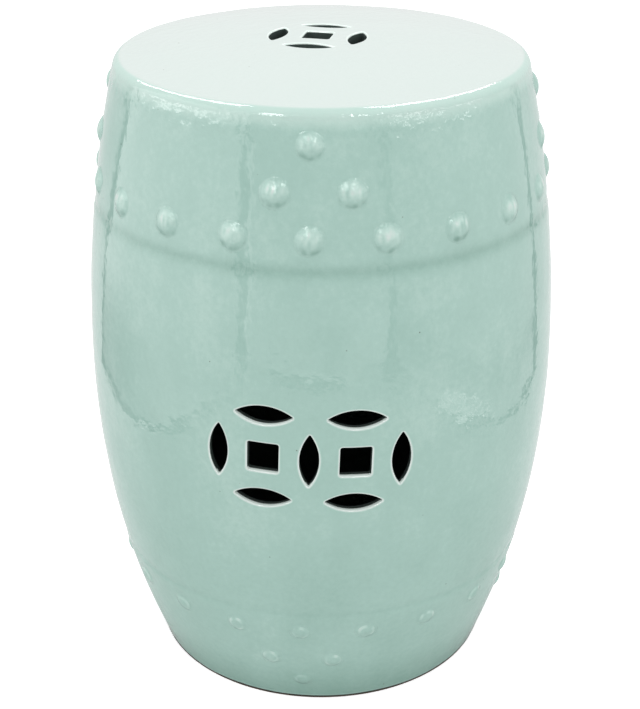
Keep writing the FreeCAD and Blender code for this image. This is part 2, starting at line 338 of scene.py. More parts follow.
def placedPetal(sizes, side):
    # the petal on one side of the coin, in the coin's own plane
    reach = sizes["pitch"] / 2
    across = {"left": -reach, "right": reach}.get(side, 0)
    up = {"bottom": -reach, "top": reach}.get(side, 0)

    def outline(grow):
        flat = petalOutline(sizes, grow)
        if side not in ("top", "bottom"):
            flat = [(-y, x) for x, y in flat]
        return [(x + across, y + up) for x, y in flat]

    return outline


def placedSquare(sizes):
    return lambda grow: squareOutline(sizes, grow)


def turned(x, y, degrees):
    angle = math.radians(degrees)
    return x * math.cos(angle) - y * math.sin(angle), x * math.sin(angle) + y * math.cos(angle)


def lipRings(thickness, skinDepth):
    # (outline's growth, depth into the clay, glaze depth, sill) from the skin outside to the skin inside
    roll, back = lip["roll"], lip["backRoll"]
    rings = [(roll + out, 0, skinDepth * share, False) for out, share in lip["shoulder"]]
    for angle in lip["rollTurns"]:
        turn = math.radians(angle)
        depth = skinDepth * lip["rollGlaze"] * (1 - fade(angle, 0, lip["thinTurn"]))
        rings.append((roll * (1 - math.sin(turn)), roll * (1 - math.cos(turn)), depth, angle == 90))
    rings.append((0, thickness * lip["sillPlace"], lip["sillGlazeAndLight"], True))
    for angle in lip["backTurns"]:
        turn = math.radians(angle)
        inset = thickness - back * (1 - math.sin(turn))
        rings.append((back * (1 - math.cos(turn)), inset, lip["backGlaze"], True))
    return rings


def lowerEdge(flat):
    # for each point of an outline, how far it faces down, 0 to 1
    middle = sum((Vector(point) for point in flat), Vector((0, 0))) / len(flat)
    facing = []
    for number, point in enumerate(flat):
        along = Vector(flat[(number + 1) % len(flat)]) - Vector(flat[number - 1])
        out = Vector((along.y, -along.x)).normalized()
        if out.dot(Vector(point) - middle) < 0:
            out = -out
        facing.append(fade(-out.y, *lip["facesDown"]))
    return facing


def cutHoles(clay, holes, surfaceAt, thickness, skinDepth=plainGlaze, sills=True):
    # holes are (outline(grow), toFlat(u, v, share)); returns their loops on the outer and the inner skin
    outerLoops, innerLoops = [], []
    for outline, toFlat in holes:
        low = lowerEdge([toFlat(u, v, 0) for u, v in outline(0)]) if sills else [0] * len(outline(0))
        before, rawBefore = None, False
        for grow, inset, depth, sill in lipRings(thickness, skinDepth):
            rolled = lip["lowerRoll"] if inset < thickness * lip["lowerRollEnd"] else 0
            flat = []
            row = []
            for (u, v), facing in zip(outline(grow), low):
                share = inset * (1 + rolled * facing) / thickness
                flat.append(toFlat(u, v, share))
                row.append(addPoint(clay, surfaceAt(*flat[-1], share), depth))
            if before:
                for number in range(len(row)):
                    after = (number + 1) % len(row)
                    # painted shade: upper and side walls turn soon to the near-black inside clay, while
                    # lower edges stay pale as painted light
                    raw = rawBefore and (low[number] < 0.5 or inset > thickness * lip["lowerGlazeEnd"])
                    addFace(clay, (before[number], before[after], row[after], row[number]), raw)
            else:
                outerLoops.append(flat)
            before, rawBefore = row, sill
        innerLoops.append(flat)
    return outerLoops, innerLoops


def isInside(x, y, loop):
    found = False
    for number, (endX, endY) in enumerate(loop):
        startX, startY = loop[number - 1]
        if (endY > y) != (startY > y) and x < (startX - endX) * (y - endY) / (startY - endY) + endX:
            found = not found
    return found


def isClear(x, y, loop):
    return all(math.hypot(x - loopX, y - loopY) > coin["clearance"] for loopX, loopY in loop)


def fillSkin(clay, rim, loose, loops, surfaceAt, share, raw, depth=plainGlaze):
    # the skin between an outer rim and the loops of the holes
    points = rim + [(x, y) for x, y in loose
                    if not any(isInside(x, y, loop) or not isClear(x, y, loop) for loop in loops)]
    edges = [(number, (number + 1) % len(rim)) for number in range(len(rim))]
    for loop in loops:
        first = len(points)
        points = points + loop
        edges += [(first + number, first + (number + 1) % len(loop)) for number in range(len(loop))]
    flat, _, faces, _, _, _ = delaunay_2d_cdt([Vector(point) for point in points], edges, [], 0, 1e-7)
    skin = [addPoint(clay, surfaceAt(point.x, point.y, share), depth) for point in flat]
    for corners in faces:
        middle = sum((flat[corner] for corner in corners), Vector((0, 0))) / len(corners)
        if not any(isInside(middle.x, middle.y, loop) for loop in loops):
            addFace(clay, [skin[corner] for corner in corners], raw)


# Glaze and clay materials


def addNode(tree, kind, values=None, **settings):
    node = tree.nodes.new(kind)
    for name, value in settings.items():
        setattr(node, name, value)
    for name, value in (values or {}).items():
        if isinstance(value, bpy.types.NodeSocket):
            tree.links.new(value, node.inputs[name])
        else:
            node.inputs[name].default_value = value
    return node


def calculate(tree, operation, *values):
    return addNode(tree, "ShaderNodeMath", dict(enumerate(values)), operation=operation).outputs[0]


def mixColours(tree, factor, first, second):
    # inputs 6 and 7 and output 2 of the node are its colours
    mixed = addNode(tree, "ShaderNodeMix", {"Factor": factor, 6: first, 7: second}, data_type="RGBA")
    return mixed.outputs[2]


def addBump(tree, height, distance, **below):
    values = {"Strength": 0.5, "Distance": distance, "Height": height, **below}
    return addNode(tree, "ShaderNodeBump", values).outputs["Normal"]


def readPoints(tree, kept):
    return addNode(tree, "ShaderNodeAttribute", attribute_name=kept).outputs["Fac"]


def ownPlace(tree):
    return addNode(tree, "ShaderNodeTexCoord").outputs["Object"]


def newGroup(name, inputs, output):
    tree = bpy.data.node_groups.new(name, "ShaderNodeTree")
    for label, value in inputs.items():
        socket = tree.interface.new_socket(name=label, in_out="INPUT", socket_type="NodeSocketFloat")
        socket.default_value = value
    tree.interface.new_socket(name=output, in_out="OUTPUT", socket_type="NodeSocketFloat")
    return tree, tree.nodes.new("NodeGroupInput").outputs, tree.nodes.new("NodeGroupOutput").inputs


def makeRunsGroup():
    # soft streaks that run down the wall, as glaze does in the kiln
    tree, given, result = newGroup("glazeRuns", {"Width": 22.0, "Drawn Out": 0.12}, "Streaks")
    apart = addNode(tree, "ShaderNodeSeparateXYZ", {0: ownPlace(tree)}).outputs
    drawn = calculate(tree, "MULTIPLY", apart["Z"], given["Drawn Out"])
    joined = addNode(tree, "ShaderNodeCombineXYZ", {"X": apart["X"], "Y": apart["Y"], "Z": drawn})
    values = {"Vector": joined.outputs[0], "Scale": given["Width"], "Detail": 3.0, "Roughness": 0.55}
    tree.links.new(addNode(tree, "ShaderNodeTexNoise", values).outputs["Fac"], result["Streaks"])
    return tree


def makeSpeckleGroup():
    # small dark specks, one in each of a few cells
    tree, given, result = newGroup("kilnSpecks", {"Scale": 60.0, "Size": 0.06, "Share": 0.03}, "Mask")
    cells = addNode(tree, "ShaderNodeTexVoronoi", {"Vector": ownPlace(tree), "Scale": given["Scale"]})
    chance = addNode(tree, "ShaderNodeSeparateColor", {0: cells.outputs["Color"]}).outputs["Red"]
    chosen = calculate(tree, "LESS_THAN", chance, given["Share"])
    values = {"Value": cells.outputs["Distance"], "From Min": given["Size"], "From Max": 0.0}
    speck = addNode(tree, "ShaderNodeMapRange", values, interpolation_type="SMOOTHSTEP").outputs["Result"]
    tree.links.new(calculate(tree, "MULTIPLY", chosen, speck), result["Mask"])
    return tree


def makeRippleGroup():
    # unevenness of a fired skin: broad ripples and a fine peel
    inputs = {"Broad": 30.0, "Fine": 260.0, "Fine Share": 0.12}
    tree, given, result = newGroup("skinRipple", inputs, "Height")
    place = ownPlace(tree)

    def ripples(scale):
        values = {"Vector": place, "Scale": scale, "Detail": 2.0}
        return addNode(tree, "ShaderNodeTexNoise", values).outputs["Fac"]

    broad, fine = ripples(given["Broad"]), ripples(given["Fine"])
    tree.links.new(calculate(tree, "MULTIPLY_ADD", fine, given["Fine Share"], broad), result["Height"])
    return tree


def placeGroup(tree, group, values):
    return addNode(tree, "ShaderNodeGroup", values, node_tree=group).outputs[0]


def newMaterial(name):
    material = bpy.data.materials.new(name)
    material.use_nodes = True
    return material, material.node_tree, material.node_tree.nodes["Principled BSDF"]


celadon = {
    "depths": {                 # colour by glaze depth
        # near white: thin glaze on the arrises, brightened into a painted highlight along the lips
        0.0: (0.87, 0.98, 0.93, 1),
        # the stops at 0.2 and 0.36 colour the seat and its edge band, paler than the wall as painted light
        0.2: (0.645, 0.72, 0.69, 1),
        0.36: (0.50, 0.68, 0.615, 1),
        0.5: (0.385, 0.575, 0.512, 1),
        1.0: (0.22, 0.38, 0.32, 1),
    },
    "runs": {"Width": 22.0, "Drawn Out": 0.12},
    "mottle": {"Broad": 14.0, "Fine": 60.0, "Fine Share": 0.5},
    "grain": {"Broad": 260.0, "Fine": 900.0, "Fine Share": 0.5},
    "uneven": {"runs": (0.16, 0.5), "mottle": (0.17, 0.75), "grain": (0.13, 0.75)},     # strength and mean
    "thickPower": 3.0,          # thick glaze is more uneven than thin, up to thickMost
    "thickMost": 1.3,
    "specks": {"Scale": 60.0, "Size": 0.045, "Share": 0.6},
    "speck": (0.10, 0.09, 0.07, 1),
    "roughness": 0.012,
    "roughnessSpread": 0.02,
    "roughnessCast": 0.22,      # added where the clay is lumpy, mostly on the bosses
    "castPower": 4.0,
    "ripple": {"Broad": 75.0, "Fine": 220.0, "Fine Share": 0.3},
    "rippleHeight": 0.6 * mm,
    "lumps": {"Broad": 130.0, "Fine": 450.0, "Fine Share": 0.15},
    "lumpHeight": 2.2 * mm,
    "refraction": 1.5,
}


def makeCeladon():
    material, tree, glaze = newMaterial("celadonGlaze")
    depth, rough = readPoints(tree, "glazeDepth"), readPoints(tree, "roughCast")
    mottle = placeGroup(tree, rippleGroup, celadon["mottle"])
    patterns = {
        "runs": placeGroup(tree, runsGroup, celadon["runs"]),
        "mottle": mottle,
        "grain": placeGroup(tree, rippleGroup, celadon["grain"]),
    }
    uneven = -sum(strength * mean for strength, mean in celadon["uneven"].values())
    for name, pattern in patterns.items():
        uneven = calculate(tree, "MULTIPLY_ADD", pattern, celadon["uneven"][name][0], uneven)
    thick = calculate(tree, "MULTIPLY", depth, 1 / plainGlaze)
    thick = calculate(tree, "POWER", thick, celadon["thickPower"])
    thick = calculate(tree, "MINIMUM", thick, celadon["thickMost"])
    varied = calculate(tree, "MULTIPLY_ADD", uneven, thick, depth)
    ramp = addNode(tree, "ShaderNodeValToRGB", {"Fac": varied})
    stops = ramp.color_ramp.elements
    (_, stops[0].color), *between, (_, stops[1].color) = celadon["depths"].items()
    for depthAt, colourAt in between:
        stops.new(depthAt).color = colourAt
    specks = placeGroup(tree, speckleGroup, celadon["specks"])
    colour = mixColours(tree, specks, ramp.outputs["Color"], celadon["speck"])
    tree.links.new(colour, glaze.inputs["Base Color"])
    even = calculate(tree, "MULTIPLY_ADD", mottle, celadon["roughnessSpread"], celadon["roughness"])
    cast = calculate(tree, "POWER", rough, celadon["castPower"])
    dull = calculate(tree, "MULTIPLY_ADD", cast, celadon["roughnessCast"], even)
    tree.links.new(dull, glaze.inputs["Roughness"])
    skin = addBump(tree, placeGroup(tree, rippleGroup, celadon["ripple"]), celadon["rippleHeight"])
    lumps = calculate(tree, "MULTIPLY", placeGroup(tree, rippleGroup, celadon["lumps"]), rough)
    tree.links.new(addBump(tree, lumps, celadon["lumpHeight"], Normal=skin), glaze.inputs["Normal"])
    glaze.inputs["IOR"].default_value = celadon["refraction"]
    return material


clays = {
    # near black: painted shade for the dim inside of the drum, the walls of its holes and the wiped strip
    # at the foot
    "paintedShadeInside": {
        "dark": (0.022, 0.036, 0.032, 1), "light": (0.045, 0.07, 0.062, 1),
        "roughness": 0.8, "specks": 0.05,
    },
    "bareClay": {
        "dark": (0.40, 0.34, 0.26, 1), "light": (0.62, 0.54, 0.43, 1),
        "roughness": 0.72, "specks": 0.12,
    },
    # near black: painted contact shadow along the foot ring's outer edge where it meets the floor, and
    # painted shade inside the ring
    "paintedShadowClay": {
        "dark": (0.03, 0.022, 0.016, 1), "light": (0.09, 0.07, 0.055, 1),
        "roughness": 0.8, "specks": 0.12,
    },
}
clayBody = {                    # what the three have in common
    "grain": {"Broad": 60.0, "Fine": 700.0, "Fine Share": 0.6},
    "grainHeight": 0.3 * mm,
    "roughnessSpread": 0.1,
    "specks": {"Scale": 400.0, "Size": 0.3},
    "speck": (0.05, 0.04, 0.03, 1),
    "refraction": 1.4,
}


def makeClay(name, look):
    material, tree, clay = newMaterial(name)
    grain = placeGroup(tree, rippleGroup, clayBody["grain"])
    specks = placeGroup(tree, speckleGroup, {**clayBody["specks"], "Share": look["specks"]})
    plain = mixColours(tree, grain, look["dark"], look["light"])
    tree.links.new(mixColours(tree, specks, plain, clayBody["speck"]), clay.inputs["Base Color"])
    rough = calculate(tree, "MULTIPLY_ADD", grain, clayBody["roughnessSpread"], look["roughness"])
    tree.links.new(rough, clay.inputs["Roughness"])
    tree.links.new(addBump(tree, grain, clayBody["grainHeight"]), clay.inputs["Normal"])
    clay.inputs["IOR"].default_value = clayBody["refraction"]
    return material


runsGroup = makeRunsGroup()
speckleGroup = makeSpeckleGroup()
rippleGroup = makeRippleGroup()
celadonGlaze = makeCeladon()
paintedShadeInside, bareClay, paintedShadowClay = (makeClay(name, look) for name, look in clays.items())
skins = [celadonGlaze, paintedShadeInside]
print("materials made")


# Seat: a shallow dome, pierced with one coin, with a rounded edge and a spigot inside the head band

seat = {
    "rise": 11 * mm,
    "thickness": 9.5 * mm,
    "edgeRound": 8.5 * mm,
    "edgeSteps": 14,
    "nearEdge": (3 * mm, 1 * mm),       # the last two rows of the dome stand this far inside the edge
    "bandStep": 1 * mm,         # between rows from the edge down to the seam
    "ringStep": 3 * mm,         # between rings of points round the coin
    "glazeDepth": 0.205,        # the seat is paler than the wall: painted light, for the top that is lit more
    "bandDepth": 0.34,          # the edge below it, also paler than the wall as painted light
    "bandPart": (0.1, 0.32),    # where on the edge that begins, and is reached
    "lumpyPart": (0.45, 0.85),  # the same for the lumps under the edge
    "liftLost": 0.75,           # share of the unevenness in height that is gone at the edge's foot
    "paleEndsBelow": 2.5 * mm,     # across the seat's seam the painted light fades into the wall's plain glaze
    "paleEndsAbove": 6.5 * mm,
}
headRadius = drum["bellyRadius"] - drum["headInset"]
dome = (seat["rise"] ** 2 + headRadius ** 2) / (2 * seat["rise"])
domeMiddle = drum["rimHeight"] + seat["rise"] - dome


def onSeat(x, y, share):
    # share 0 is the top of the seat, 1 its underside
    top = Vector((x, y, domeMiddle + math.sqrt(dome ** 2 - x * x - y * y)))
    top.z += waviness(top)
    under = domeMiddle + math.sqrt((dome - seat["thickness"]) ** 2 - x * x - y * y)
    return Vector((x, y, top.z + (under - top.z) * share))


def seatStation(radius, share, raw=False):
    return (lambda azimuth: onSeat(radius * math.sin(azimuth), -radius * math.cos(azimuth), share),
            seat["glazeDepth"], raw)


def underEdge(height):
    # the seat's paler colour, painted light, fades out from its edge down to the wall
    thin = fade(height, drum["seatSeam"] - seat["paleEndsBelow"], drum["seatSeam"] + seat["paleEndsAbove"])
    return (plainGlaze - seat["bandDepth"]) * (1 - thin)


def seatEdge():
    # stations of the rounded edge, from the dome over to the wall, and the height where it meets that
    domeLean = math.asin(headRadius / dome)
    wallTop = wallLean(drum["rimHeight"])
    run = seat["edgeRound"] * math.tan((math.pi / 2 - wallTop - domeLean) / 2)
    foot = drum["rimHeight"] - run * math.cos(wallTop)
    lean = wallLean(foot)
    centreRadius = wallRadius(foot) - seat["edgeRound"] * math.cos(lean)
    centreHeight = foot - seat["edgeRound"] * math.sin(lean)
    stations = []
    for number in range(seat["edgeSteps"] + 1):
        share = number / seat["edgeSteps"]
        turn = (math.pi / 2 - domeLean) + (lean - math.pi / 2 + domeLean) * number / seat["edgeSteps"]

        def placeAt(azimuth, turn=turn, share=share):
            radius = centreRadius + seat["edgeRound"] * math.cos(turn)
            place = around(azimuth, radius, centreHeight + seat["edgeRound"] * math.sin(turn))
            lift = waviness(place)
            rise = lift * (1 - share * seat["liftLost"])
            return around(azimuth, radius + lift * math.cos(turn) * share, place.z + rise)

        band = (seat["bandDepth"] - seat["glazeDepth"]) * fade(share, *seat["bandPart"])
        depth = seat["glazeDepth"] + band + underEdge(placeAt(0).z)
        stations.append((placeAt, depth, False, lumpy["seatEdge"] * fade(share, *seat["lumpyPart"])))
    return stations, foot


def seatHoles():
    sizes = coin["seat"]

    def toFlat(u, v, share):
        x, y = turned(u, v, coin["seatTurn"])
        return x + coin["seatAside"], y

    holes = [(placedPetal(sizes, side), toFlat) for side in ("top", "bottom", "left", "right")]
    return holes + [(placedSquare(sizes), toFlat)]


def circlePoints(radius, count, shift=0):
    turns = [math.tau * (number + shift) / count for number in range(count)]
    return [(radius * math.sin(turn), -radius * math.cos(turn)) for turn in turns]


def discPoints(radius, step):
    # rings of loose points inside a circle, every second one turned by half a point
    loose = []
    for ring in spaced(step, radius - step, step):
        loose += circlePoints(ring, max(6, round(math.tau * ring / step)), 0.5 * (round(ring / step) % 2))
    return loose


def makeSeat():
    clay = newClay()
    edge, foot = seatEdge()
    edgeTop = edge[0][0](0).xy.length
    reach, seam = coin["seatReach"], drum["seatSeam"]
    spigotFoot = seam - drum["lap"]
    spigotInside = wallRadius(spigotFoot, drum["wall"])
    radii = spaced(reach, edgeTop - seat["nearEdge"][0], drum["rowStep"]) + [edgeTop - seat["nearEdge"][1]]
    stations = [seatStation(radius, 0) for radius in radii] + edge
    stations += [outerStation(height, 0, seat["bandDepth"] + underEdge(height))
                 for height in spaced(foot, seam, seat["bandStep"])[1:]]
    stations += stepJoint(seam, -drum["lap"]) + [jointStation(spigotInside, spigotFoot)]
    under = spaced(reach, spigotInside, drum["rowStep"])[::-1]
    stations += [seatStation(radius, 1, True) for radius in under]
    turnSection(clay, stations, closed=False)
    thickness, depth = seat["thickness"], seat["glazeDepth"]
    outerLoops, innerLoops = cutHoles(clay, seatHoles(), onSeat, thickness, depth, sills=False)
    rim, loose = circlePoints(reach, drum["segments"]), discPoints(reach, seat["ringStep"])
    fillSkin(clay, rim, loose, outerLoops, onSeat, 0, False, depth)
    fillSkin(clay, rim, loose, innerLoops, onSeat, 1, True)
    finishClay(clay, "seatSlab", "seat_slab", skins)


# Wall sections, with the ring lines where one laps over the next

rings = {
    "upperGroove": (0.45 * mm, 4.5 * mm, 0.25),     # how deep, how high and how pooled the line is
    "lowerGroove": (0.22 * mm, 3 * mm, 0.05),
    "upperStep": 0.35 * mm,     # the head band's foot stands this far inside the belly's lip
    "upperStepTop": 36 * mm,
    "lowerStep": 0.3 * mm,      # the foot band's lip stands this far outside the belly's foot
    "lowerStepFoot": 34 * mm,
    "stepBelow": 5 * mm,        # this far below the rings the upper step begins and the lower one is full
    "stepBack": 4 * mm,         # and here that goes back
}
darkerBelow = {
    "belly": 0.04,              # darker towards the bottom: extra glaze depth, none at bellyTop and full at bellyFoot
    "bellyTop": 190 * mm,
    "bellyFoot": 120 * mm,
    "foot": 0.28,               # and more at the foot: pooled glaze and painted shade where little light reaches it
    "footReach": 45 * mm,
}


def groove(name, height, ring):
    deep, high, pooled = rings[name]
    near = math.exp(-((height - ring) / high) ** 2)
    return -deep * near, pooled * near


def skinAt(height):
    # lift and glaze depth of the wall's outer skin
    upper, lower, foot = drum["upperRing"], drum["lowerRing"], drum["footSeam"]
    upperLift, upperPool = groove("upperGroove", height, upper)
    lowerLift, lowerPool = groove("lowerGroove", height, lower)
    stepIn = fade(height, upper - rings["stepBelow"], upper)
    stepIn *= 1 - fade(height, upper, upper + rings["upperStepTop"])
    stepOut = fade(height, lower - rings["lowerStepFoot"], lower - rings["stepBelow"])
    stepOut *= 1 - fade(height, lower - rings["stepBack"], lower)
    lift = upperLift + lowerLift - rings["upperStep"] * stepIn + rings["lowerStep"] * stepOut
    depth = seat["bandDepth"] + underEdge(height) + upperPool + lowerPool
    depth += darkerBelow["belly"] * (1 - fade(height, darkerBelow["bellyFoot"], darkerBelow["bellyTop"]))
    depth += darkerBelow["foot"] * (1 - fade(height, foot, foot + darkerBelow["footReach"]))
    return lift, depth


def makeHeadBand():
    clay = newClay()
    seam, ring = drum["seatSeam"], drum["upperRing"]
    stations = [outerStation(height, *skinAt(height)) for height in outerHeights(ring, seam)]
    stations += stepJoint(seam, -drum["lap"])
    stations += [innerStation(height)
                 for height in spaced(seam - drum["lap"], ring + drum["lap"], drum["insideStep"])]
    stations += stepJoint(ring)[::-1]
    turnSection(clay, stations)
    finishClay(clay, "headBand", "head_band", skins)


def coinHoles(panelAzimuth):
    # two coins side by side that share a petal, hand cut on a slight slant
    panelHeight = drum["bellyHeight"] - coin["panelDrop"]
    sizes = coin["belly"]
    aside = sizes["pitch"] / 2 / drum["bellyRadius"]
    fall = sizes["pitch"] / 2 * math.sin(math.radians(coin["panelTilt"]))
    holes = []
    for coinAside, coinHeight, petals in ((-aside, panelHeight + fall, ("top", "bottom", "left")),
                                          (0, panelHeight, ("middle",)),
                                          (aside, panelHeight - fall, ("top", "bottom", "right"))):
        def toFlat(u, v, share, azimuth=panelAzimuth + coinAside, height=coinHeight):
            across, up = turned(u, v, -coin["panelTilt"])
            radius = wallRadius(height + up) - drum["wall"] * share
            return (azimuth + math.asin(across / radius)) * drum["bellyRadius"], height + up

        holes += [(placedPetal(sizes, side), toFlat) for side in petals]
        if coinAside:
            holes.append((placedSquare(sizes), toFlat))
    return holes


def throughWall(x, y, share):
    azimuth = x / drum["bellyRadius"]
    return onDrum(azimuth, y).lerp(insideDrum(azimuth, y), share)


def makeBelly():
    clay = newClay()
    upper, lower = drum["upperRing"], drum["lowerRing"]
    outer = outerHeights(lower, upper)
    inner = spaced(upper + drum["lap"], lower + drum["lap"], drum["rowStep"])
    stations = [outerStation(height, *skinAt(height)) for height in outer]
    stations += stepJoint(upper) + [innerStation(height) for height in inner] + stepJoint(lower)[::-1]

    # the turned wall leaves room for the two panels, which have points of their own round the holes
    columns = round(coin["panelReach"] / 360 * drum["segments"])
    panelMiddle = drum["bellyHeight"] - coin["panelDrop"]

    def onPanel(heights):
        return [height for height in heights if abs(height - panelMiddle) < coin["panelRise"]]

    panelOuter, panelInner = onPanel(outer), onPanel(inner)
    innerFirst = len(outer) + len(stepJoint(upper))
    outerCut = range(outer.index(panelOuter[0]), outer.index(panelOuter[-1]))
    innerCut = range(innerFirst + inner.index(panelInner[0]), innerFirst + inner.index(panelInner[-1]))

    def isPanel(level, column):
        half = drum["segments"] // 2
        fromFront = (column + half // 2) % half - half // 2
        return -columns <= fromFront < columns and (level in outerCut or level in innerCut)

    turnSection(clay, stations, skip=isPanel)
    step = math.tau / drum["segments"] * drum["bellyRadius"]
    for panelAzimuth in (0, math.pi):
        outerLoops, innerLoops = cutHoles(clay, coinHoles(panelAzimuth), throughWall, drum["wall"])
        middle = panelAzimuth * drum["bellyRadius"]
        across = [middle + step * column for column in range(-columns, columns + 1)]
        for heights, loops, share in ((panelOuter, outerLoops, 0), (panelInner[::-1], innerLoops, 1)):
            between = heights[1:-1]
            rim = [(x, heights[0]) for x in across] + [(across[-1], height) for height in between]
            rim += [(x, heights[-1]) for x in across[::-1]]
            rim += [(across[0], height) for height in between[::-1]]
            loose = [(x, height) for x in across[1:-1] for height in between]
            fillSkin(clay, rim, loose, loops, throughWall, share, bool(share))
    finishClay(clay, "bellyWall", "belly_wall", skins)


# Foot: the band over it, and the ring of bare clay that the stool stands on

foot = {                        # heights are above the seam
    "wiped": 0.8 * mm,          # clean of glaze up to here; these faces take the near-black inside clay, painted shadow where the stool meets the floor
    "thinned": 0.3,             # less glaze depth over that
    "thinLine": (1 * mm, 3 * mm),       # in full up to the first, not at all from the second
    "bead": 0.3 * mm,           # the glaze makes a bead that stands out this far
    "beadFoot": 1 * mm,         # in full from here
    "beadTop": (1.5 * mm, 6 * mm),      # and it goes back from the first to the second
    "ledge": 4 * mm,
    "bevel": 0.8 * mm,
    "innerRound": 1.2 * mm,
    "roundPoint": 0.3,          # where the middle point of a bevel stands, as a share of it
    "restStep": 1.5 * mm,       # between rows of the face that it rests on
}


def makeFootBand():
    clay = newClay()
    ring, seam = drum["lowerRing"], drum["footSeam"]
    stations = []
    for height in outerHeights(seam, ring):
        above = height - seam
        lift, depth = skinAt(height)
        lift += foot["bead"] * fade(above, 0, foot["beadFoot"]) * (1 - fade(above, *foot["beadTop"]))
        depth -= foot["thinned"] * (1 - fade(above, *foot["thinLine"]))
        placeAt, depth, _, rough = outerStation(height, lift, depth)
        stations.append((placeAt, depth, above < foot["wiped"], rough))
    stations += stepJoint(ring)
    stations += [innerStation(height)
                 for height in spaced(ring + drum["lap"], seam + drum["lap"], drum["insideStep"])]
    stations += stepJoint(seam)[::-1]
    turnSection(clay, stations)
    finishClay(clay, "footBand", "foot_band", skins)


def makeFootRing():
    clay = newClay()
    seam = drum["footSeam"]
    top = seam + drum["lap"]
    inside = wallRadius(top, drum["wall"]) - foot["ledge"]
    bevel, innerRound, part = foot["bevel"], foot["innerRound"], foot["roundPoint"]
    rest = spaced(inside + innerRound, wallRadius(0) - bevel, foot["restStep"])
    stations = [jointStation(radius, 0, False) for radius in rest]
    stations += [jointStation(wallRadius(0) - bevel * part, bevel * part),
                 jointStation(wallRadius(bevel), bevel), jointStation(wallRadius(seam), seam)]
    stations += stepJoint(seam)
    stations += [jointStation(inside, top), jointStation(inside, innerRound),
                 jointStation(inside + innerRound * part, innerRound * part)]
    turnSection(clay, stations)
    # the ring's raw faces, its outer edge and its inside, take the painted shadow clay
    finishClay(clay, "footRing", "foot_ring", [bareClay, paintedShadowClay])


# Bosses: domes of clay stuck on the wall, softened at the root by the glaze

# the caps' pale tops and edges are thin glaze and painted highlight, their dark lower edges pooled glaze
# and painted shade
bossLevels = {
    "upper": {
        "ball": 15.6 * mm, "relief": 2.95 * mm, "fillet": 3.4 * mm,
        "row": drum["upperRing"] + 19.5 * mm,
        "pair": drum["rimHeight"] - 49.5 * mm,
        "tip": drum["rimHeight"] - 21 * mm,
        "tipShare": 0.93,
        "turn": 0,
        "thinTopAndHighlight": 0.15, "thinEdgeAndHighlight": 0, "pooledRootAndShade": 0.3,
    },
    "lower": {
        "ball": 13.4 * mm, "relief": 1.85 * mm, "fillet": 4.5 * mm,
        "row": drum["lowerRing"] - 17 * mm,
        "pair": 45 * mm,
        "tip": 22.4 * mm,
        "tipShare": 0.88,
        "turn": -3,
        "thinTopAndHighlight": 0.0, "thinEdgeAndHighlight": 0.17, "pooledRootAndShade": 0.0,
    },
}
bossClay = {
    "segments": 48,
    "capRows": 11,
    "flareRows": 6,
    "skirt": [(0.5 * mm, -0.02 * mm), (0.52 * mm, -2 * mm)],    # rows past the root: how far out, and up
    "unlike": 0.08,             # how much the heights of two bosses differ
    "astray": 0.8 * mm,         # and how far they stand from their places
    "outOfRound": 0.05,
    "dents": 0.8,               # how often their outline dents
    "flareSmooth": 0.25,        # how much of the lumpiness is lost over the flare
}
# how the bosses' thin and pooled glaze, with their painted highlight and painted shade, fall on them
bossGlazeAndLight = {                   # a pair is where a change begins and ends, in shares of the cap's radius
    "edge": (0.55, 0.8),        # outwards
    "middle": (0.5, 1),
    "middleLost": 0.8,          # share of the pale top that is gone at the cap's edge
    "paleUp": (-0.8, 0.4),      # upwards: the pale, painted highlight of the top
    "capPoolAndShade": (0.2, 0.9),      # downwards: pooled glaze and painted shade
    "flarePoolAndShade": (-0.2, 0.9),
    "streaksAcross": 420,       # how close together streaks and scribbles stand
    "scribbleAcross": 250,
    "streaksDown": 160,         # how often they change on their way down
    "streaks": 1.8,             # how strong they are
    "scribble": 1.5,
    "capScribble": 0.55,        # how much of it there is
    "flareScribble": 0.5,
}
quarters = {"front": 0, "right": 90, "rear": 180, "left": 270}
rowPitch = 18
frontPairTurn = 1.1     # the hand-set pair in front sits a little to the right


def bossRings(level, share):
    # (distance from the middle, lift): a ball's cap, then a fillet that meets the wall
    ball, relief, fillet = (level[name] * share for name in ("ball", "relief", "fillet"))
    capRows, flareRows = bossClay["capRows"], bossClay["flareRows"]
    sunk = ball - relief
    root = math.sqrt((ball + fillet) ** 2 - (fillet + sunk) ** 2)
    meet = math.atan2(root, fillet + sunk)
    cap = []
    for number in range(1, capRows + 1):
        turn = meet * number / capRows
        cap.append((ball * math.sin(turn), ball * math.cos(turn) - sunk))
    flare = []
    for number in range(1, flareRows + 1):
        turn = meet * (1 - number / flareRows)
        flare.append((root - fillet * math.sin(turn), fillet * (1 - math.cos(turn))))
    return cap, flare, [(root + out, up) for out, up in bossClay["skirt"]]


